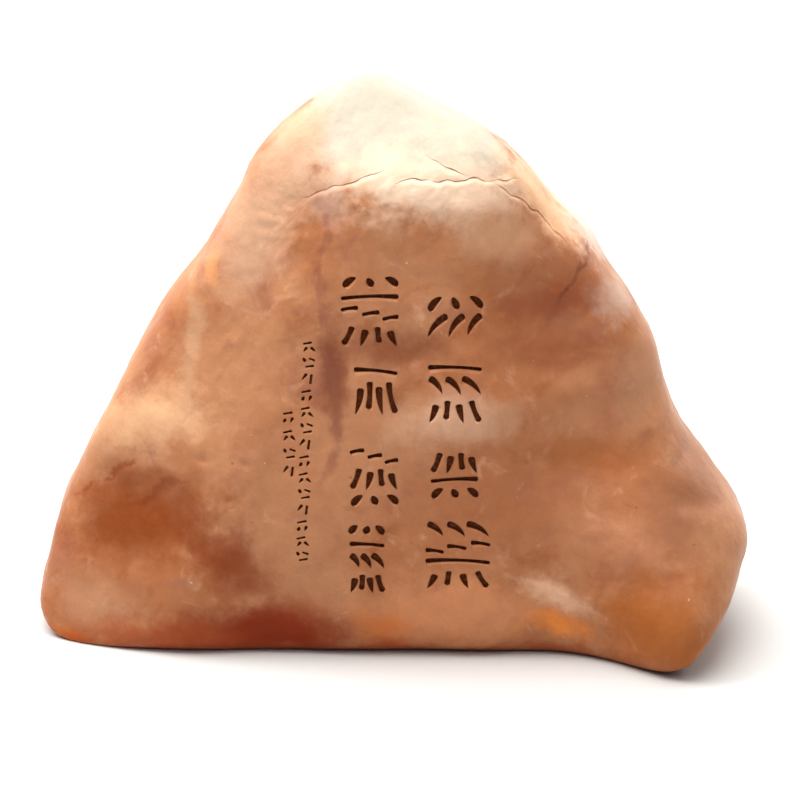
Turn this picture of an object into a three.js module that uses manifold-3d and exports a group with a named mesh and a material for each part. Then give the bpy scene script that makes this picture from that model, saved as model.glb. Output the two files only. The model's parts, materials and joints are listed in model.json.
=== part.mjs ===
// A water-worn desk stone in the shape of a mountain, one solid, standing on its flat sawn base.
// Millimetres, +Z up, the inscribed face looks along -Y, the origin is the middle of the base's box.
// The stone is a loft of rounded-box slices, pushed out by bosses, planed by facets and softly warped.
// Two wide and two narrow columns of shallow brush-like strokes, which are no letters, and the
// natural fissures below the cap are cut into it.

import * as THREE from 'three';
import { mergeVertices } from 'three/addons/utils/BufferGeometryUtils.js';
import Module from 'manifold-3d';

// Driving sizes
const FRONT_COLUMNS = 20;
const SIDE_COLUMNS = 8;
const RINGS = 37;
const FORM_MIDDLE = new THREE.Vector3(-0.54, -5.45, 0);
const ROUNDNESS = 2.7;
const BASE_SQUARENESS = 3;
const BASE_SQUARE_HEIGHT = 45;
const MIDDLE_DEPTH = 2;
const PEAK_SET_BACK = 7;
const PEAK_START = 100;
const PEAK_HEIGHT = 46;
const WARP_SIZE = 0.5;
const WARP_LENGTH = 46;
const WARP_WAVES = 9;
const WARP_HOLD = 12;
const GOLDEN_ANGLE = Math.PI * (3 - Math.sqrt(5));

const STROKE_DEPTH = 1.1;
const STROKE_CLEAR = 1.5;
const FLOOR_SHARE = 0.72;
const WIDE_LINE = { bar: 1.35, brush: 1.7, steps: 2 };
const NARROW_LINE = { bar: 0.8, brush: 0.8, steps: 1 };
const ROW_GAP = 0.1;
const FISSURE_DEPTH = 0.5;
const FISSURE_WIDTH = 0.8;
const FISSURE_TIP = 0.5;
const FISSURE_STEP = 4.5;

// The slices: height, left, right, front and back edge of the stone at that height
const SLICES = [
  [0, -85.5, 65, -25.5, 25],
  [1, -88, 67.5, -27.5, 27.5],
  [3.5, -90, 71, -29.5, 30],
  [9, -91.5, 76.5, -31, 33],
  [18, -89.5, 86.5, -32, 35],
  [28, -86, 89.5, -32, 36],
  [39, -80.5, 82, -31, 36],
  [50, -76, 73.5, -29.5, 35],
  [62, -69.5, 69, -28, 34],
  [74, -63.5, 66, -26.5, 32],
  [86, -56, 59, -25, 29],
  [98, -46, 49, -23, 26],
  [110, -39.5, 40, -21, 23],
  [120, -36, 33.5, -18, 20],
  [128, -29.5, 22, -13, 17],
  [134, -20.5, 10.5, -7, 14.5],
  [137, -14, 3, -2.5, 13],
  [138.9, -10.5, -1.5, 2, 11.5],
  [139.6, -8.5, -4, 5, 9.8],
];

// Swellings and hollows: centre, reach each way, and how far the surface is pushed there
const BOSSES = {
  frontToe: { centre: [70, -24, 0], reach: [18, 34, 36], push: [5, -24, 0] },
  backShoulder: { centre: [47, 14, 104], reach: [9, 14, 9], push: [3.5, 0, 1.5] },
  leftCheek: { centre: [-58, -26, 60], reach: [20, 30, 16], push: [0, -2.2, 0] },
  leftHollow: { centre: [-60, -26, 34], reach: [24, 30, 13], push: [0, 2.6, 0] },
  rightHollow: { centre: [44, -26, 84], reach: [16, 30, 18], push: [0, 2, 0] },
  rightSwell: { centre: [24, -26, 60], reach: [22, 30, 16], push: [0, -1.4, 0] },
};

// Broad worn faces: a point on each, its normal, and how softly its edge is rounded
const FACETS = {
  leftFace: { point: [-24, -24, 85], normal: [-0.42, -0.87, 0.26], softness: 1.5 },
  cap: { point: [5, -16.5, 122], normal: [0.02, -0.66, 0.75], softness: 0.8 },
  rightShoulder: { point: [33.2, -15, 120.8], normal: [0.7, 0.05, 0.71], softness: 0.8 },
};

// Brush shapes: share of the full width at the start, the middle and the end of a stroke
const BRUSHES = {
  bar: [0.75, 0.6, 1],
  post: [0.95, 0.7, 1],
  fall: [1, 0.8, 0.15],
  drop: [0.25, 1, 0.7],
};

// Rows of strokes: the row's share of the block's height, and strokes from (x, z) to (x, z) in a
// square from -1 to 1, with the bow of each as a share of its length
const ROWS = {
  bar: { height: 0.42, strokes: [[-0.95, -0.35, 0.95, 0.35, 0.03, 'bar']] },
  steps: {
    height: 0.85,
    strokes: [
      [-0.95, 0.5, -0.38, 0.95, 0.05, 'bar'],
      [-0.25, -0.2, 0.32, 0.25, 0.05, 'bar'],
      [0.42, -0.95, 0.95, -0.5, 0.05, 'bar'],
    ],
  },
  drops: {
    height: 0.75,
    strokes: [
      [-0.45, 0.9, -0.85, -0.9, -0.12, 'drop'],
      [-0.08, 0.9, 0.1, -0.7, 0, 'drop'],
      [0.5, 0.9, 0.9, -0.7, 0.12, 'drop'],
    ],
  },
  leans: {
    height: 1,
    strokes: [
      [-0.25, 1, -0.9, -1, -0.1, 'fall'],
      [0.32, 1, -0.2, -1, -0.1, 'fall'],
      [0.9, 1, 0.45, -0.9, -0.1, 'fall'],
    ],
  },
  reeds: {
    height: 1.4,
    strokes: [
      [-0.58, 1, -0.88, -0.9, 0.05, 'post'],
      [-0.14, 0.7, -0.3, -1, 0.03, 'fall'],
      [0.26, 1, 0.32, -0.7, -0.03, 'post'],
      [0.66, 0.6, 0.88, -1, -0.05, 'fall'],
    ],
  },
};

// Wide columns: middle and size of each block, and its rows from the top down
const BLOCKS = [
  { middle: [-5.4, 88.2], size: [14.8, 16.6], rows: ['drops', 'bar', 'steps', 'reeds'] },
  { middle: [-4, 69.1], size: [11.2, 11.5], rows: ['bar', 'reeds'] },
  { middle: [-4.4, 47.4], size: [12.5, 14], rows: ['steps', 'reeds', 'drops'] },
  { middle: [-6.2, 26.8], size: [9.1, 17.5], rows: ['drops', 'bar', 'leans', 'reeds'] },
  { middle: [15.3, 87], size: [14.4, 9.6], rows: ['drops', 'leans'] },
  { middle: [15.3, 68.6], size: [13.9, 13.5], rows: ['bar', 'leans', 'reeds'] },
  { middle: [15.3, 48.2], size: [12.3, 12], rows: ['reeds', 'bar', 'drops'] },
  { middle: [16.2, 27.6], size: [16.8, 16.4], rows: ['leans', 'steps', 'bar', 'reeds'] },
];

// Narrow columns: middle of the first and last mark, and how many marks there are
const SMALL_COLUMNS = [
  { first: [-20.2, 79.4], last: [-22.2, 27.4], count: 14 },
  { first: [-25.2, 61.9], last: [-25.2, 48.8], count: 4 },
];
const SMALL_SIZE = [3.4, 2.7];
const SMALL_MARKS = [
  [[-0.9, 0.4, 0.4, 0.8, 0, 'bar'], [-0.3, -0.1, -0.8, -1, 0, 'fall'], [0.2, -0.1, 0.9, -0.9, 0, 'fall']],
  [[-0.8, 0.9, -0.5, 0.1, 0, 'drop'], [0, 0.8, 0.9, 0.4, 0, 'bar'], [-0.5, -0.8, 0.8, -0.5, 0, 'bar']],
  [[-0.2, 1, -0.9, -0.2, 0, 'fall'], [0.5, 0.9, 0.3, -0.9, 0, 'post']],
  [[-0.9, 0.5, 0.5, 0.9, 0, 'bar'], [-0.5, -0.2, -0.8, -1, 0, 'drop'], [0.5, 0, 0.2, -1, 0, 'fall']],
];

// Natural fissures on the front, as (x, z) on the face
const FISSURES = [
  [[-22.8, 113.6], [-15, 116.8], [-9.6, 118.3], [-6.4, 119.9], [-1.4, 121.7]],
  [[0.6, 118.2], [5.2, 119.2], [9.7, 118.8], [19.2, 119.2], [24.2, 118.9], [31.5, 117.6]],
  [[8, 124], [14.8, 121.3], [19, 119.5]],
  [[24.6, 118.2], [30, 114.3], [33, 112], [36.8, 108.3], [40.4, 104], [43, 101.6]],
];

const vector = (values) => new THREE.Vector3(...values);

const smooth = (t) => t * t * (3 - 2 * t);

const clamp = (value) => THREE.MathUtils.clamp(value, 0, 1);

// One slice, blended smoothly between the measured ones
function sliceAt(position) {
  const last = SLICES.length - 1;
  const index = Math.min(Math.floor(position), last - 1);
  const t = position - index;
  const before = SLICES[Math.max(index - 1, 0)];
  const low = SLICES[index];
  const high = SLICES[index + 1];
  const after = SLICES[Math.min(index + 2, last)];
  return low.map((value, k) => {
    const leave = (high[k] - before[k]) / 2;
    const arrive = (after[k] - value) / 2;
    const blend = smooth(t);
    return value * (1 - blend) + high[k] * blend
      + leave * t * (1 - t) ** 2 - arrive * t * t * (1 - t);
  });
}

// A sum of slow sine waves in well spread directions, about -1 to 1
function waves(point, seed) {
  let sum = 0;
  for (let i = 0; i < WARP_WAVES; i += 1) {
    const up = 1 - (2 * (i + 0.5)) / WARP_WAVES;
    const out = Math.sqrt(1 - up * up);
    const turn = (i + 0.5 + seed * 0.37) * GOLDEN_ANGLE;
    const along = point.x * out * Math.cos(turn) + point.y * out * Math.sin(turn) + point.z * up;
    const length = WARP_LENGTH * (0.75 + 0.5 * ((i * 0.618034 + seed * 0.29) % 1));
    sum += Math.sin((along * 2 * Math.PI) / length + 1.7 * i * i + 2.3 * seed);
  }
  return sum / Math.sqrt(WARP_WAVES / 2);
}

function pushByBoss(point, boss) {
  const offset = point.clone().sub(vector(boss.centre)).divide(vector(boss.reach));
  point.addScaledVector(vector(boss.push), Math.exp(-offset.lengthSq()));
}

function planeByFacet(point, facet) {
  const normal = vector(facet.normal).normalize();
  const proud = point.clone().sub(vector(facet.point)).dot(normal) / facet.softness;
  const cut = Math.max(proud, 0) + Math.log1p(Math.exp(-Math.abs(proud)));
  point.addScaledVector(normal, -cut * facet.softness);
}

// Directions of the columns, anticlockwise round a square from its right front corner, a little
// closer together towards the corners
function columnDirections() {
  const spread = (count) => Array.from({ length: count }, (_, k) => {
    const t = (2 * k) / count - 1;
    return (t + Math.sin((Math.PI * t) / 2)) / 2;
  });
  const wide = spread(FRONT_COLUMNS);
  const deep = spread(SIDE_COLUMNS);
  return [
    ...deep.map((t) => [1, t]),
    ...wide.map((t) => [-t, 1]),
    ...deep.map((t) => [-1, -t]),
    ...wide.map((t) => [t, -1]),
  ];
}

// The stone's surface at a slice position from base to peak, in one direction seen from above
function surfacePoint(position, [across, deep]) {
  const [height, left, right, front, back] = sliceAt(position);
  const peak = clamp((height - PEAK_START) / PEAK_HEIGHT);
  const middle = MIDDLE_DEPTH + PEAK_SET_BACK * peak * peak;
  const low = clamp(1 - height / BASE_SQUARE_HEIGHT);
  const power = ROUNDNESS + BASE_SQUARENESS * low * low;
  const radius = (Math.abs(across) ** power + Math.abs(deep) ** power) ** (-1 / power);
  const halfDepth = deep < 0 ? middle - front : back - middle;
  const point = new THREE.Vector3(
    (left + right) / 2 + ((right - left) / 2) * radius * across,
    middle + halfDepth * radius * deep,
    height,
  );
  Object.values(BOSSES).forEach((boss) => pushByBoss(point, boss));
  Object.values(FACETS).forEach((facet) => planeByFacet(point, facet));
  const hold = smooth(clamp(point.z / WARP_HOLD));
  const warp = new THREE.Vector3(waves(point, 1), waves(point, 2), waves(point, 3) * hold);
  point.addScaledVector(warp, WARP_SIZE);
  point.z = Math.max(point.z, 0);
  return point.sub(FORM_MIDDLE);
}

// A closed body through rings of points, each anticlockwise seen from the last ring's end
function loft(rings) {
  const count = rings[0].length;
  const points = rings.flat();
  const triangles = [];
  for (let ring = 0; ring < rings.length - 1; ring += 1) {
    for (let k = 0; k < count; k += 1) {
      const a = ring * count + k;
      const b = ring * count + ((k + 1) % count);
      triangles.push(a, b, b + count, a, b + count, a + count);
    }
  }
  [0, rings.length - 1].forEach((ring, end) => {
    const centre = points.length;
    const sum = rings[ring].reduce((total, point) => total.add(point), new THREE.Vector3());
    points.push(sum.divideScalar(count));
    for (let k = 0; k < count; k += 1) {
      const a = ring * count + k;
      const b = ring * count + ((k + 1) % count);
      triangles.push(centre, ...(end === 0 ? [b, a] : [a, b]));
    }
  });
  const geometry = new THREE.BufferGeometry();
  geometry.setAttribute('position', new THREE.Float32BufferAttribute(points.flatMap((p) => p.toArray()), 3));
  geometry.setIndex(triangles);
  return geometry;
}

function stoneBody() {
  const directions = columnDirections();
  const rings = [];
  for (let ring = 0; ring < RINGS; ring += 1) {
    const position = ((SLICES.length - 1) * ring) / (RINGS - 1);
    rings.push(directions.map((direction) => surfacePoint(position, direction)));
  }
  return loft(rings);
}

// A cutter that follows a path on the front face: (x, z) and half the width at each station
function grooveCutter(front, stations, depth) {
  const outward = new THREE.Vector3(0, -1, 0);
  const rings = stations.map(({ x, z, half }, i) => {
    const from = stations[Math.max(i - 1, 0)];
    const to = stations[Math.min(i + 1, stations.length - 1)];
    const along = new THREE.Vector3(to.x - from.x, 0, to.z - from.z).normalize();
    const side = along.cross(outward);
    const skin = new THREE.Vector3(x, front(x, z), z);
    const corner = (out, aside) => skin.clone().addScaledVector(outward, out).addScaledVector(side, aside);
    return [
      corner(STROKE_CLEAR, half),
      corner(-depth, half * FLOOR_SHARE),
      corner(-depth, -half * FLOOR_SHARE),
      corner(STROKE_CLEAR, -half),
    ];
  });
  return loft(rings);
}

// A stroke of the brush from one point to another, bowed and tapered
function strokeStations([x0, z0], [x1, z1], bow, brush, width, steps) {
  const [start, middle, end] = BRUSHES[brush];
  const stations = [];
  for (let step = 0; step <= steps; step += 1) {
    const t = step / steps;
    const rise = 4 * bow * t * (1 - t);
    const share = start * (1 - t) * (1 - 2 * t) + middle * 4 * t * (1 - t) + end * t * (2 * t - 1);
    stations.push({
      x: x0 + (x1 - x0) * t - (z1 - z0) * rise,
      z: z0 + (z1 - z0) * t + (x1 - x0) * rise,
      half: (share * width) / 2,
    });
  }
  return stations;
}

// One row of a block, scaled to its place, and mirrored left to right where side is -1
function placeStrokes(strokes, [x, z], [width, height], side, line) {
  return strokes.map(([x0, z0, x1, z1, bow, brush]) => {
    const start = [x + (side * x0 * width) / 2, z + (z0 * height) / 2];
    const end = [x + (side * x1 * width) / 2, z + (z1 * height) / 2];
    const lineWidth = brush === 'bar' ? line.bar : line.brush;
    return strokeStations(start, end, bow * side, brush, lineWidth, line.steps);
  });
}

function blockStrokes(block, index) {
  const [x, z] = block.middle;
  const [width, height] = block.size;
  const gap = ROW_GAP * height;
  const shares = block.rows.reduce((sum, name) => sum + ROWS[name].height, 0);
  const scale = (height - gap * (block.rows.length - 1)) / shares;
  const side = index % 2 === 0 ? 1 : -1;
  let top = z + height / 2;
  return block.rows.flatMap((name) => {
    const row = ROWS[name];
    const rowHeight = row.height * scale;
    const middle = [x, top - rowHeight / 2];
    top -= rowHeight + gap;
    return placeStrokes(row.strokes, middle, [width, rowHeight], side, WIDE_LINE);
  });
}

function smallStrokes(column, index) {
  return Array.from({ length: column.count }, (_, i) => {
    const t = i / (column.count - 1);
    const x = THREE.MathUtils.lerp(column.first[0], column.last[0], t);
    const z = THREE.MathUtils.lerp(column.first[1], column.last[1], t);
    const mark = SMALL_MARKS[(i * 5 + index * 3) % SMALL_MARKS.length];
    return placeStrokes(mark, [x, z], SMALL_SIZE, 1, NARROW_LINE);
  }).flat();
}

// A fissure's path, with stations close enough together to keep it on the curved face
function fissureStations(path) {
  const stations = [];
  for (let i = 0; i < path.length - 1; i += 1) {
    const [[x0, z0], [x1, z1]] = [path[i], path[i + 1]];
    const steps = Math.ceil(Math.hypot(x1 - x0, z1 - z0) / FISSURE_STEP);
    for (let step = i === 0 ? 0 : 1; step <= steps; step += 1) {
      const x = THREE.MathUtils.lerp(x0, x1, step / steps);
      const z = THREE.MathUtils.lerp(z0, z1, step / steps);
      stations.push({ x, z, half: FISSURE_WIDTH / 2 });
    }
  }
  [stations[0], stations[stations.length - 1]].forEach((tip) => { tip.half *= FISSURE_TIP; });
  return stations;
}

const wasm = await Module();
wasm.setup();

function toSolid(geometry) {
  geometry.deleteAttribute('normal');
  geometry.deleteAttribute('uv');
  const merged = mergeVertices(geometry);
  return new wasm.Manifold(new wasm.Mesh({
    numProp: 3,
    vertProperties: merged.attributes.position.array,
    triVerts: Uint32Array.from(merged.index.array),
  }));
}

function toGeometry(solid) {
  const mesh = solid.getMesh();
  const geometry = new THREE.BufferGeometry();
  geometry.setAttribute('position', new THREE.BufferAttribute(mesh.vertProperties, 3));
  geometry.setIndex(new THREE.BufferAttribute(mesh.triVerts, 1));
  geometry.computeVertexNormals();
  return geometry;
}

// Height of the front face over the plane y = 0 at a point of the elevation
function frontOf(body) {
  const target = new THREE.Mesh(body);
  const caster = new THREE.Raycaster();
  return (x, z) => {
    caster.set(new THREE.Vector3(x, -200, z), new THREE.Vector3(0, 1, 0));
    return caster.intersectObject(target)[0].point.y;
  };
}

function engravedStone() {
  const body = stoneBody();
  const front = frontOf(body);
  const strokes = [...BLOCKS.flatMap(blockStrokes), ...SMALL_COLUMNS.flatMap(smallStrokes)];
  const cutters = [
    ...strokes.map((stations) => grooveCutter(front, stations, STROKE_DEPTH)),
    ...FISSURES.map((path) => grooveCutter(front, fissureStations(path), FISSURE_DEPTH)),
  ];
  const stone = cutters.reduce((solid, cutter) => solid.subtract(toSolid(cutter)), toSolid(body));
  return toGeometry(stone);
}

const stoneMaterial = new THREE.MeshStandardMaterial({ color: 0xb87c5c, roughness: 0.55, metalness: 0 });
const stone = new THREE.Mesh(engravedStone(), stoneMaterial);
stone.name = 'stone';

const group = new THREE.Group();
group.add(stone);

export default group;
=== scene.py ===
"""An engraved desk stone: one water-worn stone with painted strokes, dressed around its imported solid.

The fine stone keeps the solid's form, from the same slices, bosses and worn faces, and adds the small
relief that only shows up close. Strokes and fissures are cut into its mesh. Sizes are millimetres in
the object's own frame until a mesh is made, and metres from there on.
"""

import json
import logging
import math
from collections.abc import Callable, Iterable, Sequence
from dataclasses import dataclass, field
from enum import Enum, IntEnum

import bpy
import numpy as np
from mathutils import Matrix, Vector, noise
from mathutils.bvhtree import BVHTree

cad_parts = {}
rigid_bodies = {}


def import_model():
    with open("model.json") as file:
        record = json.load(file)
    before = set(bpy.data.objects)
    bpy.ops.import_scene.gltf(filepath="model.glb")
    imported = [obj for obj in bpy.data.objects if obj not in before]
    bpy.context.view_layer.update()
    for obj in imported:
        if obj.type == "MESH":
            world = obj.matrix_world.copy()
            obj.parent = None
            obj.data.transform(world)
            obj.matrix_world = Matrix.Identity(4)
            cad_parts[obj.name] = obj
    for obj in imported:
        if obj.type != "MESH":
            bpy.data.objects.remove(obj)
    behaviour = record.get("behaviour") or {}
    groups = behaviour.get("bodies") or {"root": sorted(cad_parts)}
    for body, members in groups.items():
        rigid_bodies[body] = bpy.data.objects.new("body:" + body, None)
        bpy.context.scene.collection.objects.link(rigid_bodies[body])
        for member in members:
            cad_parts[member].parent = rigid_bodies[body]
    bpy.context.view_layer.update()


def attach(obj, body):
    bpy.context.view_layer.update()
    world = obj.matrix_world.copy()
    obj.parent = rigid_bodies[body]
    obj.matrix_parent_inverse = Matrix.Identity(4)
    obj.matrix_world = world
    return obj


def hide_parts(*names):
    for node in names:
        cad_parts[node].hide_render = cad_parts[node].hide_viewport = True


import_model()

LOG = logging.getLogger("desk_stone")
MM = 0.001
GOLDEN_ANGLE = math.pi * (3 - math.sqrt(5))

Triple = tuple[float, float, float]
Pair = tuple[float, float]


class Face(IntEnum):
    """Material slots of the stone's mesh."""

    STONE = 0
    PAINT = 1
    # Painted shade on the fissures' upper walls and floors.
    SEAM = 2


class Brush(Enum):
    """Share of a stroke's full width at its start, middle and end."""

    BAR = (0.75, 0.6, 1.0)
    POST = (0.95, 0.7, 1.0)
    FALL = (1.0, 0.8, 0.15)
    DROP = (0.25, 1.0, 0.7)


def linear(colour: str) -> tuple[float, float, float, float]:
    """Turns an sRGB hex colour into linear values.

    Args:
        colour: Six hex digits after a hash sign.

    Returns:
        Linear red, green and blue, and an alpha of 1.
    """
    parts = (int(colour[i : i + 2], 16) / 255 for i in (1, 3, 5))
    red, green, blue = (c / 12.92 if c <= 0.04045 else ((c + 0.055) / 1.055) ** 2.4 for c in parts)
    return red, green, blue, 1.0


def add_node(tree: bpy.types.NodeTree, kind: str, inputs: dict | None = None, **settings: object) -> bpy.types.Node:
    """Adds one shader node with its settings and links.

    Args:
        tree: Node tree that takes the node.
        kind: Blender's type name of the node.
        inputs: Values or sockets to link, by the name or index of the input.
        **settings: Properties set on the node itself.

    Returns:
        The new node.
    """
    node = tree.nodes.new(kind)
    for name, value in settings.items():
        setattr(node, name, value)
    for name, value in (inputs or {}).items():
        if isinstance(value, bpy.types.NodeSocket):
            tree.links.new(value, node.inputs[name])
        else:
            node.inputs[name].default_value = value
    return node


def smooth(share: np.ndarray | float) -> np.ndarray | float:
    """Eases a share from 0 to 1 in and out."""
    return share * share * (3 - 2 * share)


def loft(rings: Sequence[np.ndarray], sides: Sequence[int], caps: int) -> tuple[list, list, list]:
    """Closes a body through rings of points.

    Args:
        rings: Arrays of points, each anticlockwise seen from the last ring's end.
        sides: Material slot of each side of a ring, in order.
        caps: Material slot of the two ends.

    Returns:
        Points, faces and the material slot of each face.
    """
    count = len(rings[0])
    points = [tuple(point) for ring in rings for point in ring]
    faces, slots = [], []
    for ring in range(len(rings) - 1):
        for k in range(count):
            a, b = ring * count + k, ring * count + (k + 1) % count
            faces.append((a, b, b + count, a + count))
            slots.append(sides[k])
    last = (len(rings) - 1) * count
    faces += [tuple(reversed(range(count))), tuple(range(last, last + count))]
    return points, faces, slots + [caps, caps]


def make_mesh(name: str, points: Iterable, faces: Iterable, slots: Sequence[int] | None = None) -> bpy.types.Mesh:
    """Makes a mesh from millimetre points.

    Args:
        name: Name of the mesh.
        points: Points in millimetres.
        faces: Corner numbers of each face.
        slots: Material slot of each face.

    Returns:
        The mesh, in metres.
    """
    mesh = bpy.data.meshes.new(name)
    mesh.from_pydata([tuple(MM * c for c in point) for point in points], [], list(faces))
    if slots is not None:
        mesh.polygons.foreach_set("material_index", slots)
    mesh.update()
    return mesh


@dataclass(frozen=True)
class Boss:
    """A swelling or hollow: its centre, its reach each way, and the push at its centre."""

    centre: Triple
    reach: Triple
    push: Triple

    def apply(self, points: np.ndarray) -> np.ndarray:
        """Pushes the points near the boss."""
        offset = (points - np.array(self.centre)) / np.array(self.reach)
        return points + np.exp(-(offset**2).sum(-1, keepdims=True)) * np.array(self.push)


@dataclass(frozen=True)
class WornFace:
    """A broad worn face: a point on it, its normal, and how softly its edge is rounded."""

    point: Triple
    normal: Triple
    softness: float

    def apply(self, points: np.ndarray) -> np.ndarray:
        """Planes off what stands proud of the face."""
        normal = np.array(self.normal) / np.linalg.norm(self.normal)
        proud = ((points - np.array(self.point)) @ normal) / self.softness
        return points - (self.softness * np.logaddexp(0, proud))[..., None] * normal


@dataclass(frozen=True)
class Dent:
    """A small swelling or hollow worn into the front: middle, reach and tilt there, and its push outwards."""

    name: str
    middle: Pair
    reach: Pair
    tilt: float
    push: float

    def height(self, points: np.ndarray) -> np.ndarray:
        """Gives the push at each point."""
        turn = math.radians(self.tilt)
        x, z = points[..., 0] - self.middle[0], points[..., 2] - self.middle[1]
        along = (x * math.cos(turn) - z * math.sin(turn)) / self.reach[0]
        across = (x * math.sin(turn) + z * math.cos(turn)) / self.reach[1]
        return self.push * np.exp(-(along**2) - across**2)


@dataclass(frozen=True)
class Fold:
    """A step in the skin along a line on the front: the push on its two sides, and how far each fades."""

    name: str
    points: tuple[Pair, ...]
    above: float
    below: float
    fade_above: float = 2.5
    fade_below: float = 1.6
    tip: float = 5.0
    ramp: float = 0.35

    def height(self, points: np.ndarray) -> np.ndarray:
        """Gives the push at each point."""
        place = points[..., (0, 2)]
        best = np.full(place.shape[:-1], 1e9)
        side, along = np.zeros_like(best), np.zeros_like(best)
        run = 0.0
        for start, end in zip(np.array(self.points[:-1]), np.array(self.points[1:])):
            line = end - start
            length = float(np.hypot(*line))
            share = np.clip((place - start) @ line / length**2, 0, 1)
            away = place - start - share[..., None] * line
            distance = np.hypot(away[..., 0], away[..., 1])
            nearer = distance < best
            best = np.where(nearer, distance, best)
            side = np.where(nearer, line[0] * away[..., 1] - line[1] * away[..., 0], side)
            along = np.where(nearer, run + share * length, along)
            run += length
        ease = np.clip(np.minimum(along, run - along) / self.tip, 0, 1)
        upper = self.above * np.exp(-best / self.fade_above)
        lower = self.below * np.exp(-best / self.fade_below)
        share = smooth(np.clip(0.5 + np.sign(side) * best / self.ramp / 2, 0, 1))
        return (lower + (upper - lower) * share) * ease


@dataclass(frozen=True)
class Wrinkle:
    """A patch of finely crumpled skin: middle and reach on the front, height and spacing of its ridges."""

    name: str
    middle: Pair
    reach: Pair
    push: float
    spacing: float


@dataclass
class StoneForm:
    """The stone's form: slices from base to peak, pushed, planed and softly warped, as in the solid."""

    middle: Triple = (-0.54, -5.45, 0)
    roundness: float = 2.7
    base_squareness: float = 3
    base_square_height: float = 45
    middle_depth: float = 2
    peak_set_back: float = 7
    peak_start: float = 100
    peak_height: float = 46
    warp_size: float = 0.5
    warp_length: float = 46
    warp_waves: int = 9
    warp_hold: float = 12
    slices: tuple = (  # height, left, right, front, back
        (0, -85.5, 65, -25.5, 25),
        (1, -88, 67.5, -27.5, 27.5),
        (3.5, -90, 71, -29.5, 30),
        (9, -91.5, 76.5, -31, 33),
        (18, -89.5, 86.5, -32, 35),
        (28, -86, 89.5, -32, 36),
        (39, -80.5, 82, -31, 36),
        (50, -76, 73.5, -29.5, 35),
        (62, -69.5, 69, -28, 34),
        (74, -63.5, 66, -26.5, 32),
        (86, -56, 59, -25, 29),
        (98, -46, 49, -23, 26),
        (110, -39.5, 40, -21, 23),
        (120, -36, 33.5, -18, 20),
        (128, -29.5, 22, -13, 17),
        (134, -20.5, 10.5, -7, 14.5),
        (137, -14, 3, -2.5, 13),
        (138.9, -10.5, -1.5, 2, 11.5),
        (139.6, -8.5, -4, 5, 9.8),
    )
    bosses: tuple[Boss, ...] = (
        Boss((70, -24, 0), (18, 34, 36), (5, -24, 0)),
        Boss((47, 14, 104), (9, 14, 9), (3.5, 0, 1.5)),
        Boss((-58, -26, 60), (20, 30, 16), (0, -2.2, 0)),
        Boss((-60, -26, 34), (24, 30, 13), (0, 2.6, 0)),
        Boss((44, -26, 84), (16, 30, 18), (0, 2, 0)),
        Boss((24, -26, 60), (22, 30, 16), (0, -1.4, 0)),
    )
    worn_faces: tuple[WornFace, ...] = (
        WornFace((-24, -24, 85), (-0.42, -0.87, 0.26), 1.5),
        WornFace((5, -16.5, 122), (0.02, -0.66, 0.75), 0.8),
        WornFace((33.2, -15, 120.8), (0.7, 0.05, 0.71), 0.8),
    )

    def slice_at(self, positions: np.ndarray) -> np.ndarray:
        """Blends smoothly between the slices.

        Args:
            positions: Places from 0 at the base to the number of the last slice.

        Returns:
            One row of height, left, right, front and back for each position.
        """
        table = np.array(self.slices, float)
        last = len(table) - 1
        index = np.clip(np.floor(positions).astype(int), 0, last - 1)
        t = (positions - index)[:, None]
        low, high = table[index], table[index + 1]
        leave = (high - table[np.maximum(index - 1, 0)]) / 2
        arrive = (table[np.minimum(index + 2, last)] - low) / 2
        blend = smooth(t)
        return low * (1 - blend) + high * blend + leave * t * (1 - t) ** 2 - arrive * t * t * (1 - t)

    def waves(self, points: np.ndarray, seed: int, length: float, count: int) -> np.ndarray:
        """Sums slow sine waves in well spread directions.

        Args:
            points: Points in millimetres.
            seed: Number that turns and shifts the waves.
            length: Middle wavelength.
            count: How many waves are summed.

        Returns:
            A value of about -1 to 1 for each point.
        """
        total = np.zeros(points.shape[:-1])
        for i in range(count):
            up = 1 - 2 * (i + 0.5) / count
            out = math.sqrt(1 - up * up)
            turn = (i + 0.5 + seed * 0.37) * GOLDEN_ANGLE
            along = points @ np.array((out * math.cos(turn), out * math.sin(turn), up))
            wave = length * (0.75 + 0.5 * ((i * 0.618034 + seed * 0.29) % 1))
            total += np.sin(along * 2 * math.pi / wave + 1.7 * i * i + 2.3 * seed)
        return total / math.sqrt(count / 2)

    def surface(self, positions: np.ndarray, directions: np.ndarray) -> np.ndarray:
        """Works out the stone's surface.

        Args:
            positions: Slice positions of the rings.
            directions: Directions of the columns on a square from -1 to 1, seen from above.

        Returns:
            Points by ring and column, in millimetres in the object's frame.
        """
        height, left, right, front, back = (v[:, None] for v in self.slice_at(positions).T)
        across, deep = directions[None, :, 0], directions[None, :, 1]
        peak = np.clip((height - self.peak_start) / self.peak_height, 0, 1)
        middle = self.middle_depth + self.peak_set_back * peak * peak
        low = np.clip(1 - height / self.base_square_height, 0, 1)
        power = self.roundness + self.base_squareness * low * low
        radius = (np.abs(across) ** power + np.abs(deep) ** power) ** (-1 / power)
        half_depth = np.where(deep < 0, middle - front, back - middle)
        x = (left + right) / 2 + (right - left) / 2 * radius * across
        y = middle + half_depth * radius * deep
        points = np.stack((x, y, np.broadcast_to(height, x.shape)), -1)
        for form in (*self.bosses, *self.worn_faces):
            points = form.apply(points)
        hold = smooth(np.clip(points[..., 2] / self.warp_hold, 0, 1))
        warp = np.stack([self.waves(points, seed, self.warp_length, self.warp_waves) for seed in (1, 2, 3)], -1)
        warp[..., 2] *= hold
        points = points + self.warp_size * warp
        points[..., 2] = np.maximum(points[..., 2], 0)
        return points - np.array(self.middle)


@dataclass(frozen=True)
class Stroke:
    """A stroke of the brush, from one point to another, in a square from -1 to 1."""

    start: Pair
    end: Pair
    bow: float
    brush: Brush


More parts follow.
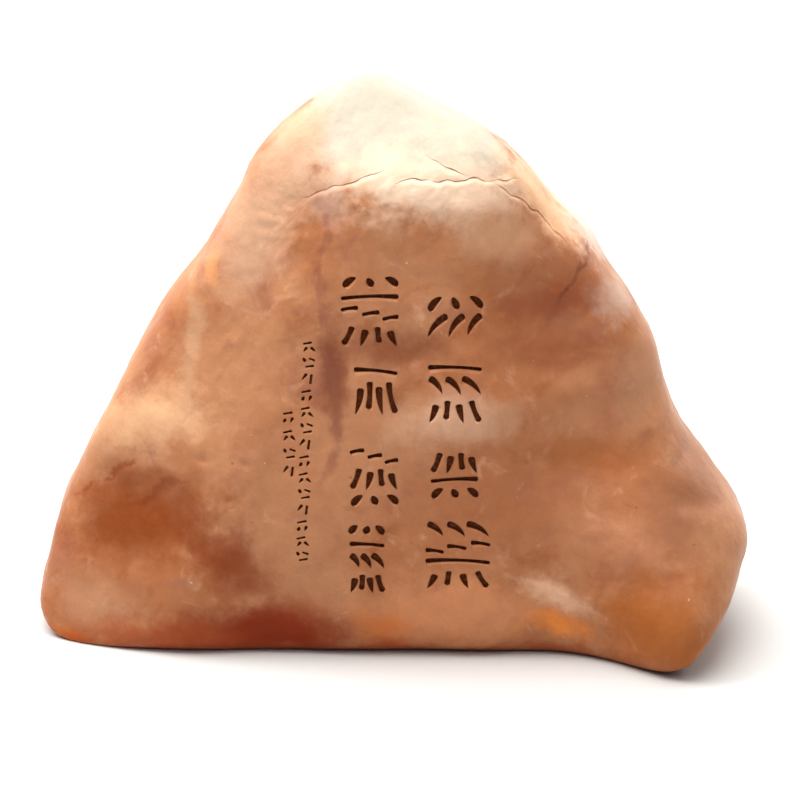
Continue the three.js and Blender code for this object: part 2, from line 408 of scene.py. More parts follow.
@dataclass(frozen=True)
class StrokeRow:
    """A row of strokes and its share of a block's height."""

    height: float
    strokes: tuple[Stroke, ...]


BAR_ROW = StrokeRow(0.42, (Stroke((-0.95, -0.35), (0.95, 0.35), 0.03, Brush.BAR),))
STEP_ROW = StrokeRow(
    0.85,
    (
        Stroke((-0.95, 0.5), (-0.38, 0.95), 0.05, Brush.BAR),
        Stroke((-0.25, -0.2), (0.32, 0.25), 0.05, Brush.BAR),
        Stroke((0.42, -0.95), (0.95, -0.5), 0.05, Brush.BAR),
    ),
)
DROP_ROW = StrokeRow(
    0.75,
    (
        Stroke((-0.45, 0.9), (-0.85, -0.9), -0.12, Brush.DROP),
        Stroke((-0.08, 0.9), (0.1, -0.7), 0.0, Brush.DROP),
        Stroke((0.5, 0.9), (0.9, -0.7), 0.12, Brush.DROP),
    ),
)
LEAN_ROW = StrokeRow(
    1.0,
    (
        Stroke((-0.25, 1), (-0.9, -1), -0.1, Brush.FALL),
        Stroke((0.32, 1), (-0.2, -1), -0.1, Brush.FALL),
        Stroke((0.9, 1), (0.45, -0.9), -0.1, Brush.FALL),
    ),
)
REED_ROW = StrokeRow(
    1.4,
    (
        Stroke((-0.58, 1), (-0.88, -0.9), 0.05, Brush.POST),
        Stroke((-0.14, 0.7), (-0.3, -1), 0.03, Brush.FALL),
        Stroke((0.26, 1), (0.32, -0.7), -0.03, Brush.POST),
        Stroke((0.66, 0.6), (0.88, -1), -0.05, Brush.FALL),
    ),
)
SMALL_MARKS = (
    (
        Stroke((-0.9, 0.4), (0.4, 0.8), 0, Brush.BAR),
        Stroke((-0.3, -0.1), (-0.8, -1), 0, Brush.FALL),
        Stroke((0.2, -0.1), (0.9, -0.9), 0, Brush.FALL),
    ),
    (
        Stroke((-0.8, 0.9), (-0.5, 0.1), 0, Brush.DROP),
        Stroke((0, 0.8), (0.9, 0.4), 0, Brush.BAR),
        Stroke((-0.5, -0.8), (0.8, -0.5), 0, Brush.BAR),
    ),
    (
        Stroke((-0.2, 1), (-0.9, -0.2), 0, Brush.FALL),
        Stroke((0.5, 0.9), (0.3, -0.9), 0, Brush.POST),
    ),
    (
        Stroke((-0.9, 0.5), (0.5, 0.9), 0, Brush.BAR),
        Stroke((-0.5, -0.2), (-0.8, -1), 0, Brush.DROP),
        Stroke((0.5, 0), (0.2, -1), 0, Brush.FALL),
    ),
)


@dataclass(frozen=True)
class StrokeBlock:
    """A block of a wide column: its middle and size on the front, and its rows from the top down."""

    middle: Pair
    size: Pair
    rows: tuple[StrokeRow, ...]


@dataclass(frozen=True)
class SmallColumn:
    """A narrow column: the middle of its first and last mark, and how many marks there are."""

    first: Pair
    last: Pair
    count: int


@dataclass(frozen=True)
class LineGauge:
    """How a stroke is cut: full widths, depth, the unpainted bevel at its rim, and its stations."""

    bar_width: float
    brush_width: float
    depth: float
    bevel: float
    stations: int


@dataclass(frozen=True)
class Groove:
    """A cutter's path on the front face: (x, z, half the width) at each station, and its layer."""

    stations: tuple[Triple, ...]
    gauge: LineGauge
    layer: int


@dataclass
class Inscription:
    """Columns of shallow brush-like strokes on the front, which are no letters."""

    wide: LineGauge = LineGauge(1.35, 1.7, 1.0, 0.3, 12)
    narrow: LineGauge = LineGauge(0.8, 0.8, 0.6, 0.12, 7)
    row_gap: float = 0.1
    small_size: Pair = (3.4, 2.7)
    round_end: float = 0.45
    tip_share: float = 0.12
    layers: int = 6
    blocks: tuple[StrokeBlock, ...] = (
        StrokeBlock((-5.4, 88.2), (14.8, 16.6), (DROP_ROW, BAR_ROW, STEP_ROW, REED_ROW)),
        StrokeBlock((-4, 69.1), (11.2, 11.5), (BAR_ROW, REED_ROW)),
        StrokeBlock((-4.4, 47.4), (12.5, 14), (STEP_ROW, REED_ROW, DROP_ROW)),
        StrokeBlock((-6.2, 26.8), (9.1, 17.5), (DROP_ROW, BAR_ROW, LEAN_ROW, REED_ROW)),
        StrokeBlock((15.3, 87), (14.4, 9.6), (DROP_ROW, LEAN_ROW)),
        StrokeBlock((15.3, 68.6), (13.9, 13.5), (BAR_ROW, LEAN_ROW, REED_ROW)),
        StrokeBlock((15.3, 48.2), (12.3, 12), (REED_ROW, BAR_ROW, DROP_ROW)),
        StrokeBlock((16.2, 27.6), (16.8, 16.4), (LEAN_ROW, STEP_ROW, BAR_ROW, REED_ROW)),
    )
    small_columns: tuple[SmallColumn, ...] = (
        SmallColumn((-20.2, 79.4), (-22.2, 27.4), 14),
        SmallColumn((-25.2, 61.9), (-25.2, 48.8), 4),
    )

    def stroke_groove(self, stroke: Stroke, middle: Pair, size: Pair, side: int, gauge: LineGauge, layer: int) -> Groove:
        """Places one stroke on the front.

        Args:
            stroke: The stroke in its square.
            middle: Middle of the square on the front.
            size: Width and height of the square.
            side: -1 to mirror it left to right, or 1.
            gauge: How it is cut.
            layer: Layer of cutters that it belongs to.

        Returns:
            The stroke's groove.
        """
        x0, z0 = (middle[0] + side * stroke.start[0] * size[0] / 2, middle[1] + stroke.start[1] * size[1] / 2)
        x1, z1 = (middle[0] + side * stroke.end[0] * size[0] / 2, middle[1] + stroke.end[1] * size[1] / 2)
        width = gauge.bar_width if stroke.brush is Brush.BAR else gauge.brush_width
        start, centre, end = stroke.brush.value
        length = math.hypot(x1 - x0, z1 - z0)
        stations = []
        for step in range(gauge.stations + 1):
            t = 0.5 - 0.5 * math.cos(math.pi * step / gauge.stations)
            rise = 4 * stroke.bow * side * t * (1 - t)
            share = start * (1 - t) * (1 - 2 * t) + centre * 4 * t * (1 - t) + end * t * (2 * t - 1)
            inset = min(1, min(t, 1 - t) * length / (self.round_end * width))
            rounded = self.tip_share + (1 - self.tip_share) * math.sqrt(1 - (1 - inset) ** 2)
            x = x0 + (x1 - x0) * t - (z1 - z0) * rise
            z = z0 + (z1 - z0) * t + (x1 - x0) * rise
            stations.append((x, z, share * width / 2 * rounded))
        return Groove(tuple(stations), gauge, layer)

    def block_grooves(self, block: StrokeBlock, side: int) -> list[Groove]:
        """Fills one block with its rows of strokes."""
        width, height = block.size
        gap = self.row_gap * height
        scale = (height - gap * (len(block.rows) - 1)) / sum(row.height for row in block.rows)
        top = block.middle[1] + height / 2
        grooves = []
        for number, row in enumerate(block.rows):
            row_height = row.height * scale
            middle = (block.middle[0], top - row_height / 2)
            for index, stroke in enumerate(row.strokes):
                layer = number % 2 * 3 + index % 3
                grooves.append(self.stroke_groove(stroke, middle, (width, row_height), side, self.wide, layer))
            top -= row_height + gap
        return grooves

    def small_grooves(self, column: SmallColumn, number: int) -> list[Groove]:
        """Fills one narrow column with its marks."""
        grooves = []
        for i in range(column.count):
            t = i / (column.count - 1)
            middle = tuple(a + (b - a) * t for a, b in zip(column.first, column.last))
            for index, stroke in enumerate(SMALL_MARKS[(i * 5 + number * 3) % len(SMALL_MARKS)]):
                layer = i % 2 * 3 + index % 3
                grooves.append(self.stroke_groove(stroke, middle, self.small_size, 1, self.narrow, layer))
        return grooves

    def grooves(self) -> list[Groove]:
        """Gives every stroke's groove."""
        wide = [g for i, block in enumerate(self.blocks) for g in self.block_grooves(block, -1 if i % 2 else 1)]
        narrow = [g for i, column in enumerate(self.small_columns) for g in self.small_grooves(column, i)]
        return wide + narrow


@dataclass
class Fissures:
    """Natural cracks below the cap, as (x, z) on the front, wandering a little between the points."""

    gauge: LineGauge = LineGauge(0.32, 0.32, 0.35, 0.0, 0)
    step: float = 0.9
    wander: float = 0.9
    wander_length: float = 4.2
    tip: float = 0.25
    tip_length: float = 5
    ramp: float = 0.9
    sink: float = 0.45
    lip: float = 0.3
    paths: tuple[tuple[Pair, ...], ...] = (
        ((-22.8, 113.6), (-15, 116.8), (-9.6, 118.3), (-6.4, 119.9), (-1.4, 121.7)),
        ((0.6, 118.2), (5.2, 119.2), (9.7, 118.8), (19.2, 119.2), (24.2, 118.9), (31.5, 117.6)),
        ((8, 124), (14.8, 121.3), (19, 119.5)),
        ((24.6, 118.2), (30, 114.3), (33, 112), (36.8, 108.3), (40.4, 104), (43, 101.6)),
    )

    def lines(self) -> list[tuple[Pair, ...]]:
        """Gives each fissure as a wandering line of points, a step apart."""
        made = []
        for number, path in enumerate(self.paths):
            corners = np.array(path, float)
            lengths = np.hypot(*np.diff(corners, axis=0).T)
            along = np.concatenate(([0], np.cumsum(lengths)))
            places = np.linspace(0, along[-1], max(4, round(along[-1] / self.step)))
            x, z = (np.interp(places, along, corners[:, k]) for k in (0, 1))
            shifts = [noise.fractal(Vector((px, pz, number * 7.3)) / self.wander_length, 1.0, 2.2, 2) for px, pz in zip(x, z)]
            made.append(tuple(zip(x.tolist(), (z + self.wander * np.array(shifts)).tolist())))
        return made

    def lips(self) -> list[Fold]:
        """Gives the fold at each fissure: sunk above the line, with a lip that catches light below it."""
        return [
            Fold(f"fissure {i}", line, -self.sink, self.lip, 2.2, 1.8, self.tip_length, self.ramp)
            for i, line in enumerate(self.lines())
        ]

    def grooves(self) -> list[Groove]:
        """Gives each fissure's groove along the top of its lip, thin at its tips."""
        made = []
        for number, line in enumerate(self.lines()):
            reach = self.step * (len(line) - 1)
            stations = []
            for k, (x, z) in enumerate(line):
                place = k * self.step
                width = noise.noise(Vector((place / 2.5, number * 3.1, 9.7)))
                ease = min(1, min(place, reach - place) / self.tip_length + self.tip)
                half = self.gauge.bar_width / 2 * ease * (1 + 0.8 * width)
                stations.append((x, z + self.ramp / 2, half))
            made.append(Groove(tuple(stations), self.gauge, number % 2))
        return made


@dataclass(frozen=True)
class ColourPatch:
    """A patch of colour on the stone, mostly its own colour, a few of them painted highlight, painted shade and painted
    warm reflection: its middle and reach on the front, tilt, colour and strength.
    """

    name: str
    middle: Pair
    reach: Pair
    tilt: float
    colour: str
    strength: float
    core: float = 0.2
    deep: float = 45
    inward: float = -20


@dataclass(frozen=True)
class Vein:
    """A thin line of colour through the stone, along points on the front."""

    name: str
    points: tuple[Pair, ...]
    half_width: float
    colour: str
    strength: float

    def patches(self) -> list[ColourPatch]:
        """Gives one long, thin patch of colour for each stretch of the vein."""
        made = []
        for (x0, z0), (x1, z1) in zip(self.points, self.points[1:]):
            middle = ((x0 + x1) / 2, (z0 + z1) / 2)
            reach = (math.hypot(x1 - x0, z1 - z0) / 2 + self.half_width, self.half_width)
            tilt = -math.degrees(math.atan2(z1 - z0, x1 - x0))
            made.append(ColourPatch(self.name, middle, reach, tilt, self.colour, self.strength))
        return made


@dataclass(frozen=True)
class Cloud:
    """A colour that drifts through the whole stone: size of its clouds, where they start, and strength."""

    colour: str
    size_mm: float
    low: float
    high: float
    strength: float
    seed: float
    detail: float = 5.0
    twist: float = 0.0


@dataclass(frozen=True)
class PolishedStone:
    """River-worn quartzite or jade-like stone, tumbled and waxed: a soft, even sheen over cloudy colour."""

    tan: str = "#AE6E48"
    pale_nick: str = "#F0D8C0"
    dark_speck: str = "#5C2E1C"
    cloud_layers: tuple[Cloud, ...] = (
        Cloud("#C08660", 30, 0.4, 0.62, 0.8, 1.3),
        Cloud("#A46850", 15, 0.5, 0.7, 0.7, 4.1, twist=0.8),
        Cloud("#94502A", 19, 0.54, 0.72, 0.55, 7.9, twist=1.2),
        Cloud("#D9A684", 11, 0.56, 0.76, 0.5, 11.7, detail=6, twist=1.6),
    )
    mottle_mm: float = 5.5
    grain_mm: float = 0.8
    drift_mm: float = 16
    drift_size_mm: float = 13
    ragged_mm: float = 7
    ragged: float = 0.45
    nick_mm: float = 9
    speck_mm: float = 14
    roughness: float = 0.44
    gloss: float = 0.08
    glow: float = 0.22
    glow_colour: str = "#FFE6D2"
    scatter: float = 0.1
    patches: tuple[ColourPatch, ...] = (
        # Painted highlight: pale cream over the cap, standing in for the overhead light that blows the top out, laid
        # over the stone's orange tan.
        ColourPatch("pale cap, painted highlight", (4.5, 132.5), (29, 18), 5, "#BFB5A3", 0.97, 0.7, 150),
        ColourPatch("peach beside the cap", (-24, 124), (10, 14), 20, "#DAA888", 0.85, 0.3, 80),
        ColourPatch("peach below the cap", (9, 118.5), (34, 10.5), 4, "#F2CFB2", 0.92, 0.3, 80),
        ColourPatch("peach left flank", (-32, 109), (13, 26), 28, "#CEA282", 0.8, 0.3, 70),
        ColourPatch("mauve patch under the fissure", (-16, 112), (6.2, 5), 0, "#C49C88", 0.65),
        ColourPatch("peach right shoulder", (38, 111.5), (21, 5), 49, "#F2BE92", 0.9, 0.35),
        ColourPatch("pale back of the shoulder", (48, 104), (11, 14), 0, "#F4DCC8", 0.9, 0.5, 20, 18),
        ColourPatch("umber band right", (40, 89), (19.6, 5.3), -4, "#984F32", 0.8),
        ColourPatch("umber band right, lower", (41, 78), (24.5, 6.6), 4, "#935236", 0.6),
        ColourPatch("umber patch centre", (2, 79), (17.1, 6), 0, "#7C3E26", 0.7, 0.1),
        ColourPatch("umber patch under the mauve", (-15, 73), (4.6, 14.8), 0, "#7E432E", 0.75),
        ColourPatch("grey tan above the right", (26, 106.5), (17, 8), 15, "#CA9C7A", 0.55),
        ColourPatch("pale tan middle", (15, 62), (18, 8.4), -5, "#DCB090", 0.65),
        ColourPatch("ochre patch right", (51, 52), (18.4, 7.0), 5, "#9F5B32", 0.65),
        ColourPatch("rosy right flank", (57, 90), (8, 9.5), 30, "#D6B4A0", 0.7, 0.3),
        ColourPatch("rosy right flank, lower", (61, 70), (8.3, 13.7), 8, "#BE8C6C", 0.55, 0.3),
        ColourPatch("brown right shoulder", (73, 40), (14, 18), 30, "#8C5C42", 0.7),
        # Partly painted highlight: the swelling's own tan, lightened where the overhead light strikes its top.
        ColourPatch("tan swelling with painted highlight", (-61, 57.5), (21, 9.5), -22, "#F0BC90", 0.85, 0.1),
        ColourPatch("pale streak left", (-50, 79), (2.9, 18.6), 4, "#CCA480", 0.5),
        ColourPatch("orange spot left", (-44, 95), (2.2, 4.8), 4, "#DE9458", 0.6, 0.3),
        ColourPatch("ochre hollow left", (-65, 33.5), (31, 14), -8, "#80380A", 0.88),
        ColourPatch("ochre hollow left, upper", (-66, 41), (14, 4), -18, "#A05228", 0.4, 0.1),
        ColourPatch("ochre hollow right end", (-40, 24), (15, 10), 24, "#84340A", 0.8),
        ColourPatch("rosy toe left", (-76, 12), (12.2, 8.4), 20, "#C08A68", 0.65),
        ColourPatch("lilac fleck low left", (-54, 19), (4.9, 2.9), 0, "#9C6450", 0.5),
        ColourPatch("tan left of the small columns", (-33, 54), (13, 12), 0, "#A87050", 0.5, 0.2),
        # Painted warm reflection: orange along the rounded bottom edge at the left, as bounce light from a warm surface
        # below.
        ColourPatch("painted warm reflection at the left toe", (-83, 0), (14, 4.5), 8, "#D0641C", 0.75, 0.1),
        # Painted shade and painted warm reflection: dark red-brown low on the front, where the light falls off towards
        # the base, tinted as by warm bounce light.
        ColourPatch("painted shade and warm reflection on the foot", (-31, 6), (27, 10), 0, "#862804", 0.95, 0.3),
        ColourPatch("painted shade and warm reflection on the foot, left", (-55, 4), (26, 5.6), 0, "#A2441C", 0.75),
        ColourPatch("rosy tan low middle", (14, 13), (30, 11.5), 0, "#E09668", 0.7, 0.3),
        ColourPatch("ochre low middle", (-3, 8), (10, 7), 0, "#D27230", 0.65, 0.1),
        ColourPatch("pale veil low right", (42, 16), (13, 4.8), 32, "#F4C4A2", 0.78, 0.1),
        ColourPatch("ochre under the veil", (42, 8), (11, 4.6), 10, "#F29040", 0.8, 0.1),
        # Partly painted shade: brown at the right foot, darkened where the lower right front lies in shade.
        ColourPatch("brown foot right, partly painted shade", (66, 12), (20, 15), 12, "#A0561C", 0.85, 0.35),
        ColourPatch("brown fleck right", (63, 25), (8.3, 3.6), 0, "#94501E", 0.5, 0.1),
        ColourPatch("rosy tan right", (51, 32), (17.1, 8.0), 0, "#C68662", 0.5),
        # Painted warm reflection and painted shade: a dark orange band along the base, as warm bounce light on the
        # shaded foot.
        ColourPatch("painted warm reflection and shade along the foot", (0, 0), (120, 4.5), 0, "#A03C0C", 0.7, 0.1, 90),
    )
    veins: tuple[Vein, ...] = (
        Vein("pale arc on the left", ((-42.9, 88.1), (-37.4, 87.1), (-31.9, 86.6), (-26.1, 88.9), (-21.9, 91)), 0.9, "#D0A07E", 0.3),
        Vein("pale line in the middle", ((0, 65.1), (8.1, 62.9), (15.3, 61.4)), 1.2, "#CFA280", 0.3),
        Vein("pale line in the veil", ((30.4, 22.6), (37.9, 18.6), (45.3, 15.5), (51.5, 11.3)), 1.2, "#E0B292", 0.4),
        Vein(
            "mauve vein",
            ((-15, 111), (-17.5, 99.8), (-17, 90.9), (-17, 80.1), (-14.7, 66.6), (-15.2, 56.7), (-17.7, 44.4)),
            1.7,
            "#8E5644",
            0.55,
        ),
        Vein("purple line right", ((48.4, 99.5), (48.4, 96.5), (45.2, 92.5), (40.1, 89.3)), 0.8, "#6E4038", 0.7),
        Vein("brown line left", ((-81.5, 34.9), (-73.7, 39.6), (-67.8, 44.1), (-64.7, 46.6)), 1.1, "#8E3C1C", 0.65),
        Vein("brown line in the hollow", ((-63.2, 36.3), (-57.9, 41.3), (-51.6, 43.0)), 1.2, "#84381A", 0.5),
    )

    def material(self) -> bpy.types.Material:
        """Builds the stone's material.

        Returns:
            The material, with colour, sheen and fine bump from nodes.
        """
        made = bpy.data.materials.new("waxed_stone")
        made.use_nodes = True
        tree = made.node_tree
        tree.nodes.clear()
        place = add_node(tree, "ShaderNodeTexCoord").outputs["Object"]
        colour = self.clouds(tree, place)
        colour = self.with_patches(tree, place, colour)
        colour = self.grain(tree, place, colour)
        shader = add_node(
            tree,
            "ShaderNodeBsdfPrincipled",
            {
                "Base Color": colour,
                "Roughness": self.sheen(tree, place),
                "IOR": 1.54,
                "Specular IOR Level": self.gloss,
                "Sheen Weight": self.glow,
                "Sheen Roughness": 0.3,
                "Sheen Tint": linear(self.glow_colour),
                "Subsurface Weight": self.scatter,
                "Subsurface Radius": (1.0, 0.45, 0.25),
                "Subsurface Scale": 2.5 * MM,
                "Normal": self.bump(tree, place),
            },
        )
        add_node(tree, "ShaderNodeOutputMaterial", {"Surface": shader.outputs["BSDF"]})
        return made

    def clouds(self, tree: bpy.types.NodeTree, place: bpy.types.NodeSocket) -> bpy.types.NodeSocket:
        """Mixes the ground colour with soft clouds of the stone's other colours."""
        colour: object = linear(self.tan)
        for cloud in self.cloud_layers:
            pattern = add_node(
                tree,
                "ShaderNodeTexNoise",
                {
                    "Vector": place,
                    "W": cloud.seed,
                    "Scale": 1 / (cloud.size_mm * MM),
                    "Detail": cloud.detail,
                    "Roughness": 0.6,
                    "Distortion": cloud.twist,
                },
                noise_dimensions="4D",
            )
            share = add_node(
                tree,
                "ShaderNodeMapRange",
                {"Value": pattern.outputs["Fac"], 1: cloud.low, 2: cloud.high, 3: 0.0, 4: cloud.strength},
                interpolation_type="SMOOTHSTEP",
            )
            colour = self.mixed(tree, share.outputs["Result"], colour, linear(cloud.colour))
        return colour

    def with_patches(
        self, tree: bpy.types.NodeTree, place: bpy.types.NodeSocket, colour: bpy.types.NodeSocket
    ) -> bpy.types.NodeSocket:
        """Lays the colour patches, some of them painted highlight, painted shade and painted warm reflection, and the
        veins over the ground colour, with edges broken by noise.
        """
        drift = add_node(
            tree,
            "ShaderNodeTexNoise",
            {"Vector": place, "Scale": 1 / (self.drift_mm * MM), "Detail": 5.0, "Roughness": 0.62},
        )
        centred = add_node(
            tree, "ShaderNodeVectorMath", {0: drift.outputs["Color"], 1: (0.5, 0.5, 0.5)}, operation="SUBTRACT"
        )
        moved = add_node(
            tree,
            "ShaderNodeVectorMath",
            {0: centred.outputs["Vector"], 1: (self.drift_size_mm * MM,) * 3, 2: place},
            operation="MULTIPLY_ADD",
        )
        grain = add_node(
            tree,
            "ShaderNodeTexNoise",
            {"Vector": place, "Scale": 1 / (self.ragged_mm * MM), "Detail": 6.0, "Roughness": 0.65},
        )
        rim = add_node(
            tree,
            "ShaderNodeMapRange",
            {"Value": grain.outputs["Fac"], 1: 0.25, 2: 0.75, 3: 1.15 - self.ragged, 4: 1.15 + self.ragged},
        )
        lines = [colour_patch for vein in self.veins for colour_patch in vein.patches()]
        for colour_patch in (*self.patches, *lines):
            x, z = colour_patch.middle
            mapped = add_node(
                tree,
                "ShaderNodeMapping",
                {
                    "Vector": moved.outputs["Vector"],
                    "Location": (x * MM, colour_patch.inward * MM, z * MM),
                    "Rotation": (0.0, math.radians(colour_patch.tilt), 0.0),
                    "Scale": (colour_patch.reach[0] * MM, colour_patch.deep * MM, colour_patch.reach[1] * MM),
                },
                vector_type="TEXTURE",
            )
            distance = add_node(tree, "ShaderNodeVectorMath", {0: mapped.outputs["Vector"]}, operation="LENGTH")
            share = add_node(
                tree,
                "ShaderNodeMapRange",
                {
                    "Value": distance.outputs["Value"],
                    1: colour_patch.core,
                    2: rim.outputs["Result"],
                    3: colour_patch.strength,
                    4: 0.0,
                },
                interpolation_type="SMOOTHSTEP",
            )
            colour = self.mixed(tree, share.outputs["Result"], colour, linear(colour_patch.colour))
        return colour

    def mixed(
        self, tree: bpy.types.NodeTree, share: bpy.types.NodeSocket, below: object, above: object
    ) -> bpy.types.NodeSocket:
        """Lays one colour over another by a share."""
        inputs = {"Factor": share, 6: below, 7: above}
        return add_node(tree, "ShaderNodeMix", inputs, data_type="RGBA").outputs[2]

    def grain(
        self, tree: bpy.types.NodeTree, place: bpy.types.NodeSocket, colour: bpy.types.NodeSocket
    ) -> bpy.types.NodeSocket:
        """Adds mottling, fine grain, pale nicks and dark specks."""
        tone = None
        for size, detail, low, high in ((self.mottle_mm, 5.0, 0.94, 1.06), (self.grain_mm, 2.0, 0.975, 1.025)):
            pattern = add_node(
                tree,
                "ShaderNodeTexNoise",
                {"Vector": place, "Scale": 1 / (size * MM), "Detail": detail, "Roughness": 0.6},
            )
            tone = add_node(
                tree, "ShaderNodeMapRange", {"Value": pattern.outputs["Fac"], 1: 0.3, 2: 0.7, 3: low, 4: high}
            )
            scaled = add_node(
                tree, "ShaderNodeVectorMath", {0: colour, "Scale": tone.outputs["Result"]}, operation="SCALE"
            )
            colour = scaled.outputs["Vector"]
        for size, radius, flaw in ((self.nick_mm, 0.035, self.pale_nick), (self.speck_mm, 0.035, self.dark_speck)):
            bent = add_node(
                tree,
                "ShaderNodeTexNoise",
                {"Vector": place, "Scale": 1 / (2.0 * MM), "Detail": 2.0},
            )
            shifted = add_node(
                tree,
                "ShaderNodeVectorMath",
                {0: bent.outputs["Color"], 1: (1.6 * MM,) * 3, 2: place},
                operation="MULTIPLY_ADD",
            )
            cells = add_node(
                tree,
                "ShaderNodeTexVoronoi",
                {"Vector": shifted.outputs["Vector"], "Scale": 1 / (size * MM)},
            )
            share = add_node(
                tree,
                "ShaderNodeMapRange",
                {"Value": cells.outputs["Distance"], 1: radius * 0.3, 2: radius, 3: 0.55, 4: 0.0},
            )
            colour = self.mixed(tree, share.outputs["Result"], colour, linear(flaw))
        return colour

    def sheen(self, tree: bpy.types.NodeTree, place: bpy.types.NodeSocket) -> bpy.types.NodeSocket:
        """Varies the polish a little, as hand waxing leaves it."""
        patch = add_node(tree, "ShaderNodeTexNoise", {"Vector": place, "Scale": 1 / (9 * MM), "Detail": 3.0})
        rough = add_node(
            tree,
            "ShaderNodeMapRange",
            {"Value": patch.outputs["Fac"], 1: 0.3, 2: 0.7, 3: self.roughness - 0.06, 4: self.roughness + 0.08},
        )
        return rough.outputs["Result"]

    def bump(self, tree: bpy.types.NodeTree, place: bpy.types.NodeSocket) -> bpy.types.NodeSocket:
        """Gives the skin its fine orange-peel unevenness."""
        normal = None
        for size, height in ((2.4, 0.16), (0.8, 0.05)):
            skin = add_node(
                tree, "ShaderNodeTexNoise", {"Vector": place, "Scale": 1 / (size * MM), "Detail": 3.0, "Roughness": 0.55}
            )
            inputs = {"Strength": 1.0, "Distance": height * MM, "Height": skin.outputs["Fac"]}
            if normal is not None:
                inputs["Normal"] = normal
            normal = add_node(tree, "ShaderNodeBump", inputs).outputs["Normal"]
        return normal


@dataclass(frozen=True)
class EngravingPaint:
    """Thin brown-black enamel brushed into a sand-blasted groove: matt, with stone showing through."""

    dark: str = "#54260F"
    worn: str = "#824828"
    fleck_mm: float = 0.9
    roughness: float = 0.7
    gloss: float = 0.08

    def material(self) -> bpy.types.Material:
        """Builds the paint's material."""
        made = bpy.data.materials.new("engraving_paint")
        made.use_nodes = True
        tree = made.node_tree
        tree.nodes.clear()
        place = add_node(tree, "ShaderNodeTexCoord").outputs["Object"]
        fleck = add_node(
            tree, "ShaderNodeTexNoise", {"Vector": place, "Scale": 1 / (self.fleck_mm * MM), "Detail": 3.0}
        )
        share = add_node(tree, "ShaderNodeMapRange", {"Value": fleck.outputs["Fac"], 1: 0.5, 2: 0.75, 3: 0.0, 4: 0.8})
        colour = add_node(
            tree,
            "ShaderNodeMix",
            {"Factor": share.outputs["Result"], 6: linear(self.dark), 7: linear(self.worn)},
            data_type="RGBA",
        )
        bumped = add_node(
            tree, "ShaderNodeBump", {"Strength": 0.4, "Distance": 0.1 * MM, "Height": fleck.outputs["Fac"]}
        )
        shader = add_node(
            tree,
            "ShaderNodeBsdfPrincipled",
            {
                "Base Color": colour.outputs[2],
                "Roughness": self.roughness,
                "Specular IOR Level": self.gloss,
                "Normal": bumped.outputs["Normal"],
            },
        )
        add_node(tree, "ShaderNodeOutputMaterial", {"Surface": shader.outputs["BSDF"]})
        return made


@dataclass(frozen=True)
class SeamShade:
    """Dull red-brown on the upper wall and floor of a natural crack: painted shade, darker than the stone where the
    wall faces down away from the light.
    """

    colour: str = "#9C5A3A"
    pale: str = "#C88E68"

    def material(self) -> bpy.types.Material:
        """Builds the seam's material."""
        made = bpy.data.materials.new("seam_painted_shade")
        made.use_nodes = True
        tree = made.node_tree
        tree.nodes.clear()
        place = add_node(tree, "ShaderNodeTexCoord").outputs["Object"]
        patch = add_node(tree, "ShaderNodeTexNoise", {"Vector": place, "Scale": 1 / (2.4 * MM), "Detail": 3.0})
        share = add_node(tree, "ShaderNodeMapRange", {"Value": patch.outputs["Fac"], 1: 0.4, 2: 0.65})
        colour = add_node(
            tree,
            "ShaderNodeMix",
            {"Factor": share.outputs["Result"], 6: linear(self.colour), 7: linear(self.pale)},
            data_type="RGBA",
        )
        shader = add_node(
            tree, "ShaderNodeBsdfPrincipled", {"Base Color": colour.outputs[2], "Roughness": 0.7}
        )
        add_node(tree, "ShaderNodeOutputMaterial", {"Surface": shader.outputs["BSDF"]})
        return made


